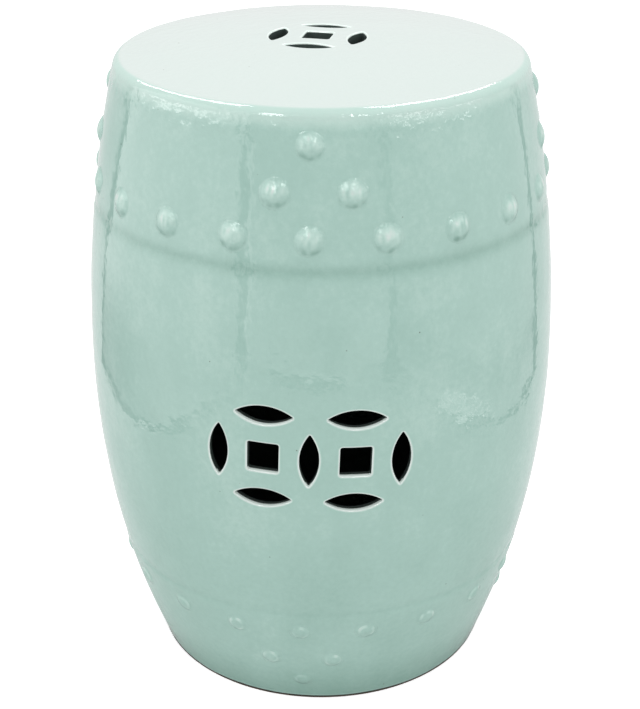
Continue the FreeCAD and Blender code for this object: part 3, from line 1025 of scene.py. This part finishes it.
def addBoss(clay, azimuth, height, level, share):
    # the numbers beside centre only pick a boss's own place in the noise
    centre = around(azimuth, wallRadius(height), height)
    lump = 1 + bossClay["unlike"] * noise.noise(centre * 31)
    azimuth += bossClay["astray"] * noise.noise(centre * 47) / wallRadius(height)
    lean = wallLean(height)
    cap, flare, skirt = bossRings(level, share)
    width = cap[-1][0]
    segments = bossClay["segments"]

    def addRing(reach, lift, rough, depthAt, depthShare=1):
        ring = []
        for number in range(segments):
            turn = math.tau * number / segments
            aside, up = math.cos(turn), math.sin(turn)
            uneven = noise.noise(centre * 19 + Vector((aside, up, 0)) * bossClay["dents"])
            far = reach * (1 + bossClay["outOfRound"] * uneven)
            rise = height + far * up * math.cos(lean)
            wallLift, wallDepth = skinAt(rise)
            place = onDrum(azimuth + far * aside / wallRadius(height), rise,
                           wallLift + lift * (lump if lift > 0 else 1))
            depth = wallDepth + depthAt(aside * reach, up * reach) * depthShare
            ring.append(addPoint(clay, place, depth, rough))
        return ring

    def streak(aside, up, across):
        down = bossGlazeAndLight["streaksDown"]
        return noise.noise(Vector((aside * across, up * down, centre.x * 90 + centre.z * 50)))

    def scribble(aside, up, amount):
        return max(0, amount + bossGlazeAndLight["scribble"] * streak(aside, up, bossGlazeAndLight["scribbleAcross"]))

    def capDepth(aside, up):
        # pale on top and at the edge: thin glaze and painted highlight; dark along the lower edge: pooled
        # glaze and painted shade
        out = math.hypot(aside, up) / width
        edge = fade(out, *bossGlazeAndLight["edge"]) * scribble(aside, up, bossGlazeAndLight["capScribble"])
        pale = level["thinTopAndHighlight"] * (1 - bossGlazeAndLight["middleLost"] * fade(out, *bossGlazeAndLight["middle"]))
        pale *= fade(up / width, *bossGlazeAndLight["paleUp"])
        pale *= 1 + bossGlazeAndLight["streaks"] * streak(aside, up, bossGlazeAndLight["streaksAcross"])
        pooled = level["pooledRootAndShade"] * edge * fade(-up / width, *bossGlazeAndLight["capPoolAndShade"])
        return pooled - pale - level["thinEdgeAndHighlight"] * edge

    def flareDepth(aside, up):
        pooled = level["pooledRootAndShade"] * fade(-up / width, *bossGlazeAndLight["flarePoolAndShade"])
        return pooled * scribble(aside, up, bossGlazeAndLight["flareScribble"])

    lift, depth = skinAt(height)
    top = addPoint(clay, onDrum(azimuth, height, lift + level["relief"] * share * lump),
                   depth + capDepth(0, 0), 1)
    rows = [addRing(reach, rise, 1, capDepth) for reach, rise in cap]
    for number, (reach, rise) in enumerate(flare, start=1):
        down = number / len(flare)
        rows.append(addRing(reach, rise, 1 - down * bossClay["flareSmooth"], flareDepth, 1 - down))
    rows += [addRing(reach, rise, 0, flareDepth, 0) for reach, rise in skirt]
    for number in range(segments):
        addFace(clay, (top, rows[0][number], rows[0][(number + 1) % segments]))
    for row, nextRow in zip(rows, rows[1:]):
        bridgeRows(clay, row, nextRow)
    addFace(clay, rows[-1])


def makeBosses():
    for levelName, level in bossLevels.items():
        for quarter, middle in quarters.items():
            row = [(step * rowPitch, "row", 1) for step in range(-2, 3)]
            pairTurn = frontPairTurn if (levelName, quarter) == ("upper", "front") else 0
            trio = [(pairTurn - rowPitch / 2, "pair", 1), (pairTurn + rowPitch / 2, "pair", 1),
                    (0, "tip", level["tipShare"])]
            for kind, places in (("row", row), ("trio", trio)):
                clay = newClay()
                for aside, height, share in places:
                    azimuth = math.radians(middle + aside + level["turn"])
                    addBoss(clay, azimuth, level[height], level, share)
                name = levelName + kind.capitalize() + quarter.capitalize()
                node = f"{levelName}_boss_{kind}_{quarter}"
                finishClay(clay, name, node, skins)


makeSeat()
makeHeadBand()
makeBelly()
makeFootBand()
makeFootRing()
makeBosses()
print("stool made")


# Studio: a white board at each side, soft lamps overhead, a dark room in front, a pale floor

studio = {
    "turn": 2.7,                # the studio stands square to the camera
    "topPlace": (0, 0.1, 1.7),
    "topAim": (0, 0, 0.3),
    "topSize": 1.5,
    "topGlow": 0.8,
    "fill": 1.0,                # how bright the world lights the stool
    "mirrored": 0.82,           # and how bright the glaze mirrors it
    "screenSteps": 24,
    "screenFoot": 0.0005,       # just above the floor
}
room = {                        # glows are as mirrored in the glaze, times the white of the background
    "place": -0.87,
    "height": 1.8,
    "glow": 1.25,
    "right": 1.3,               # brighter to the right, between these places
    "rightPart": (0.05, 0.3),
    "shade": 0.5,               # and darker higher up
    "shadePart": (0.14, 0.22),
    "cameraShade": (0.05, 0.10, 0.12, 0.06, 0.5),       # middle, half sizes and depth of the camera's shade
    "ceiling": (-0.30, 0.22),
    "ceilingFar": 0.3,
    "ceilingGlow": 0.5,
}
boardShape = {                  # what both boards have in common
    "height": 0.47,
    "top": 0.95,
    "farGap": 0.044,
    "farPart": (0.08, 0.26),    # between these heights the far end brightens from farFoot to farTop
    "lowShadeAt": (0.085, 0.035),       # height and reach of the lowShade
    "risePart": (0.12, 0.42),
}
# near and far are the places of a board's ends, at its foot and its top,
# and footGap is the height of the dark gap under it, at its near and its far end
boards = {
    "left": {
        "across": -0.50, "near": (-0.70, -0.67), "far": (0.33, 0.13), "gap": 0.09,
        "pool": -0.20, "nearSpread": 0.34, "farSpread": 0.24,
        "nearGlow": 1.2, "poolGlow": 1.4, "farFoot": 0.4, "farTop": 1.3, "lowShade": 0,
        "rise": 0.35, "above": 2.0, "footGap": (0.004, 0.03),
    },
    "right": {
        "across": 0.53, "near": (-0.87, -0.87), "far": (0.275, 0.215), "gap": 0.05,
        "pool": -0.25, "nearSpread": 0.30, "farSpread": 0.30,
        "nearGlow": 0.8, "poolGlow": 1.3, "farFoot": 0.9, "farTop": 1.1, "lowShade": 0.4,
        "rise": 0.05, "above": 0.7, "footGap": (0.004, 0.014),
    },
}
# the bright and dark lines that the glaze mirrors: plane, corners in it and glow
strips = {
    "leftOverhead": ("z", 1.3, [(-1.08, 0.98), (-0.94, 1.06), (-0.25, 0.12), (-0.40, -0.02)], 11),
    "rightOverhead": ("z", 1.3, [(0.74, 1.16), (0.58, 1.22), (0.15, 0.12), (0.31, 0.03)], 11),
    "leftCorner": ("y", -0.86, [(-0.36, 0.72), (-0.23, 0.72), (-0.50, 1.8), (-0.76, 1.8)], 11),
    "rightCorner": ("y", -0.86, [(0.27, 0.80), (0.37, 0.80), (0.54, 1.7), (0.36, 1.7)], 11),
    "leftEdge": ("x", -0.495, [(-0.46, 0.51), (0.0, 0.45), (0.0, 0.48), (-0.46, 0.56)], 5.5),
    "rightEdge": ("x", 0.525, [(-0.80, 0.57), (-0.08, 0.475), (-0.08, 0.50), (-0.80, 0.62)], 5),
    "leftNear": ("x", -0.495, [(-0.84, 0.03), (-0.79, 0.03), (-0.79, 0.6), (-0.84, 0.6)], 2),
    "rightGap": ("y", -0.866, [(0.46, 0.0005), (0.53, 0.0005), (0.53, 1.1), (0.46, 1.1)], 0),
    "leftGlint": ("x", -0.495, [(-0.16, 0.003), (-0.03, 0.005), (-0.03, 0.009), (-0.16, 0.007)], 2.5),
    "lowGlint": ("x", 0.525, [(-0.42, 0.010), (-0.14, 0.014), (-0.14, 0.019), (-0.42, 0.014)], 3.4),
    "middleGlint": ("x", 0.525, [(-0.46, 0.020), (-0.10, 0.028), (-0.10, 0.033), (-0.46, 0.024)], 3.0),
    "highGlint": ("x", 0.525, [(-0.38, 0.034), (-0.20, 0.044), (-0.20, 0.050), (-0.38, 0.040)], 3.0),
    "roomFoot": ("y", -0.865, [(-0.36, 0.0005), (0.17, 0.0005), (0.17, 0.032), (-0.36, 0.026)], 0),
    "roomGlint": ("y", -0.866, [(-0.18, 0.034), (0.12, 0.034), (0.12, 0.043), (-0.18, 0.043)], 2),
    "rightCornerFloor": ("z", 0.001, [(0.37, -0.865), (0.525, -0.865), (0.525, -0.68), (0.40, -0.74)], 0.1),
}


def turnedPlace(x, y, z):
    return Vector((*turned(x, y, studio["turn"]), z))


def addTopLight():
    light = bpy.data.lights.new("topLight", "AREA")
    light.size = studio["topSize"]
    light.energy = studio["topGlow"] * math.pi * light.size ** 2
    lamp = placeObject("topLight", light)
    lamp.location = turnedPlace(*studio["topPlace"])
    lamp.rotation_euler = (Vector(studio["topAim"]) - lamp.location).to_track_quat("-Z", "Y").to_euler()
    lamp.visible_camera = False
    lamp.visible_glossy = False


def makeScreenGlow():
    material = bpy.data.materials.new("screenGlow")
    material.use_nodes = True
    tree = material.node_tree
    tree.nodes.clear()
    values = {"Color": (1, 1, 1, 1), "Strength": readPoints(tree, "glow")}
    light = addNode(tree, "ShaderNodeEmission", values)
    addNode(tree, "ShaderNodeOutputMaterial", {"Surface": light.outputs[0]})
    return material


def addScreen(name, axis, at, corners, glow):
    # a flat screen square to an axis, that only the glaze's reflections see,
    # divided finely enough for a glow that varies with the place
    steps = studio["screenSteps"]
    axis = "xyz".index(axis)
    first, second, third, fourth = (Vector(corner[:axis] + (at,) + corner[axis:]) for corner in corners)
    places = []
    for row in range(steps + 1):
        start, end = first.lerp(fourth, row / steps), second.lerp(third, row / steps)
        places += [start.lerp(end, column / steps) for column in range(steps + 1)]
    wide = steps + 1
    faces = [(number, number + 1, number + 1 + wide, number + wide)
             for number in range(wide * steps) if number % wide < steps]
    mesh = bpy.data.meshes.new(name)
    mesh.from_pydata([turnedPlace(*place) for place in places], [], faces)
    glows = [glow(place) if callable(glow) else glow for place in places]
    mesh.attributes.new("glow", "FLOAT", "POINT").data.foreach_set("value", glows)
    mesh.materials.append(screenGlow)
    screen = placeObject(name, mesh)
    screen.visible_camera = False
    screen.visible_diffuse = False
    screen.visible_shadow = False


def addBoard(side, board):
    high, top = boardShape["height"], boardShape["top"]
    (nearFoot, nearTop), (farFoot, farTop) = board["near"], board["far"]
    footEnd, topEnd = farFoot - boardShape["farGap"], farTop - boardShape["farGap"]
    lowNear, lowFar = board["footGap"]
    gap, low = board["gap"], studio["screenFoot"]

    def boardGlow(place):
        # brightest where its lamp falls on it
        pool, glow = board["pool"], board["nearGlow"]
        if place.y < pool:
            glow += (board["poolGlow"] - glow) * fade(place.y, pool - board["nearSpread"], pool)
        else:
            farGlow = board["farFoot"]
            farGlow += (board["farTop"] - farGlow) * fade(place.z, *boardShape["farPart"])
            glow = board["poolGlow"]
            glow += (farGlow - glow) * fade(place.y, pool, pool + board["farSpread"])
        shadeAt, shadeReach = boardShape["lowShadeAt"]
        glow *= 1 - board["lowShade"] * math.exp(-((place.z - shadeAt) / shadeReach) ** 2)
        return glow * (1 + board["rise"] * fade(place.z, *boardShape["risePart"]))

    parts = {
        "Board": (boardGlow, [(nearFoot, lowNear), (footEnd, lowFar), (topEnd, high), (nearTop, high)]),
        "Upper": (board["above"], [(nearTop, high), (farTop, high), (farTop, top), (nearTop, top)]),
        "FootGap": (0, [(nearFoot, low), (farFoot, low), (footEnd, lowFar), (nearFoot, lowNear)]),
        "FarGap": (0, [(footEnd, lowFar), (farFoot, low), (farTop, high), (topEnd, high)]),
        "NearGap": (0, [(nearFoot - gap, low), (nearFoot, low), (nearTop, top), (nearTop - gap, top)]),
    }
    for part, (glow, corners) in parts.items():
        addScreen(side + part, "x", board["across"], corners, glow)


def addRoom():
    left, right = boards["left"]["across"], boards["right"]["across"]
    low, level, high, near = studio["screenFoot"], boardShape["height"], room["height"], room["place"]
    middleX, middleZ, halfWidth, halfHeight, shade = room["cameraShade"]

    def roomGlow(place):
        glow = room["glow"] + (room["right"] - room["glow"]) * fade(place.x, *room["rightPart"])
        off = ((place.x - middleX) / halfWidth) ** 2 + ((place.z - middleZ) / halfHeight) ** 2
        return glow - shade * math.exp(-off ** 2) - room["shade"] * fade(place.z, *room["shadePart"])

    for name, start, end in (("room", low, level), ("roomUpper", level, high)):
        addScreen(name, "y", near, [(left, start), (right, start), (right, end), (left, end)], roomGlow)
    (left, right), far = room["ceiling"], room["ceilingFar"]
    ceiling = [(left, near), (right, near), (right, far), (left, far)]
    addScreen("ceiling", "z", high, ceiling, room["ceilingGlow"])


def addScreens():
    for side, board in boards.items():
        addBoard(side, board)
    addRoom()
    for name, (axis, at, corners, glow) in strips.items():
        addScreen(name, axis, at, corners, glow)


def makeWorld():
    # white where it is seen or mirrored, a dimmer fill elsewhere
    world = bpy.data.worlds.new("studio")
    world.use_nodes = True
    tree = world.node_tree
    seen = addNode(tree, "ShaderNodeLightPath").outputs
    direct = calculate(tree, "MAXIMUM", seen["Is Camera Ray"], seen["Is Transmission Ray"])
    values = {"Value": seen["Is Glossy Ray"], "To Min": studio["fill"], "To Max": studio["mirrored"]}
    unseen = addNode(tree, "ShaderNodeMapRange", values)
    values = {"Value": direct, "To Min": unseen.outputs["Result"], "To Max": 1.0}
    strength = addNode(tree, "ShaderNodeMapRange", values)
    background = tree.nodes["Background"]
    background.inputs["Color"].default_value = (1, 1, 1, 1)
    tree.links.new(strength.outputs["Result"], background.inputs["Strength"])
    bpy.context.scene.world = world


paleFloor = {
    "colour": (0.82, 0.82, 0.82, 1),
    "lift": 0.7,                # added as the camera sees it
    "underStool": 0.119,        # but not inside the drum, to this radius
    "grain": {"Broad": 3.0, "Fine": 90.0, "Fine Share": 0.2},
    "roughness": 0.75,
    "roughnessSpread": 0.1,
    "sheen": 0.1,
    "reach": 9,
}


def makeFloor():
    material, tree, paint = newMaterial("paleFloor")
    grain = placeGroup(tree, rippleGroup, paleFloor["grain"])
    rough = calculate(tree, "MULTIPLY_ADD", grain, paleFloor["roughnessSpread"], paleFloor["roughness"])
    tree.links.new(rough, paint.inputs["Roughness"])
    seen = addNode(tree, "ShaderNodeLightPath").outputs
    apart = addNode(tree, "ShaderNodeVectorMath", {0: ownPlace(tree)}, operation="LENGTH").outputs["Value"]
    outside = calculate(tree, "GREATER_THAN", apart, paleFloor["underStool"])
    lifted = calculate(tree, "MULTIPLY", seen["Is Camera Ray"], paleFloor["lift"])
    tree.links.new(calculate(tree, "MULTIPLY", lifted, outside), paint.inputs["Emission Strength"])
    paint.inputs["Base Color"].default_value = paleFloor["colour"]
    paint.inputs["Specular IOR Level"].default_value = paleFloor["sheen"]
    paint.inputs["Emission Color"].default_value = (1, 1, 1, 1)
    mesh = bpy.data.meshes.new("floor")
    reach = paleFloor["reach"]
    corners = [(-reach, -reach, 0), (reach, -reach, 0), (reach, reach, 0), (-reach, reach, 0)]
    mesh.from_pydata(corners, [], [(0, 1, 2, 3)])
    mesh.materials.append(material)
    placeObject("floor", mesh)


screenGlow = makeScreenGlow()
setCamera()
addTopLight()
addScreens()
makeWorld()
makeFloor()
bpy.context.scene.view_settings.view_transform = "Standard"
print("studio made")
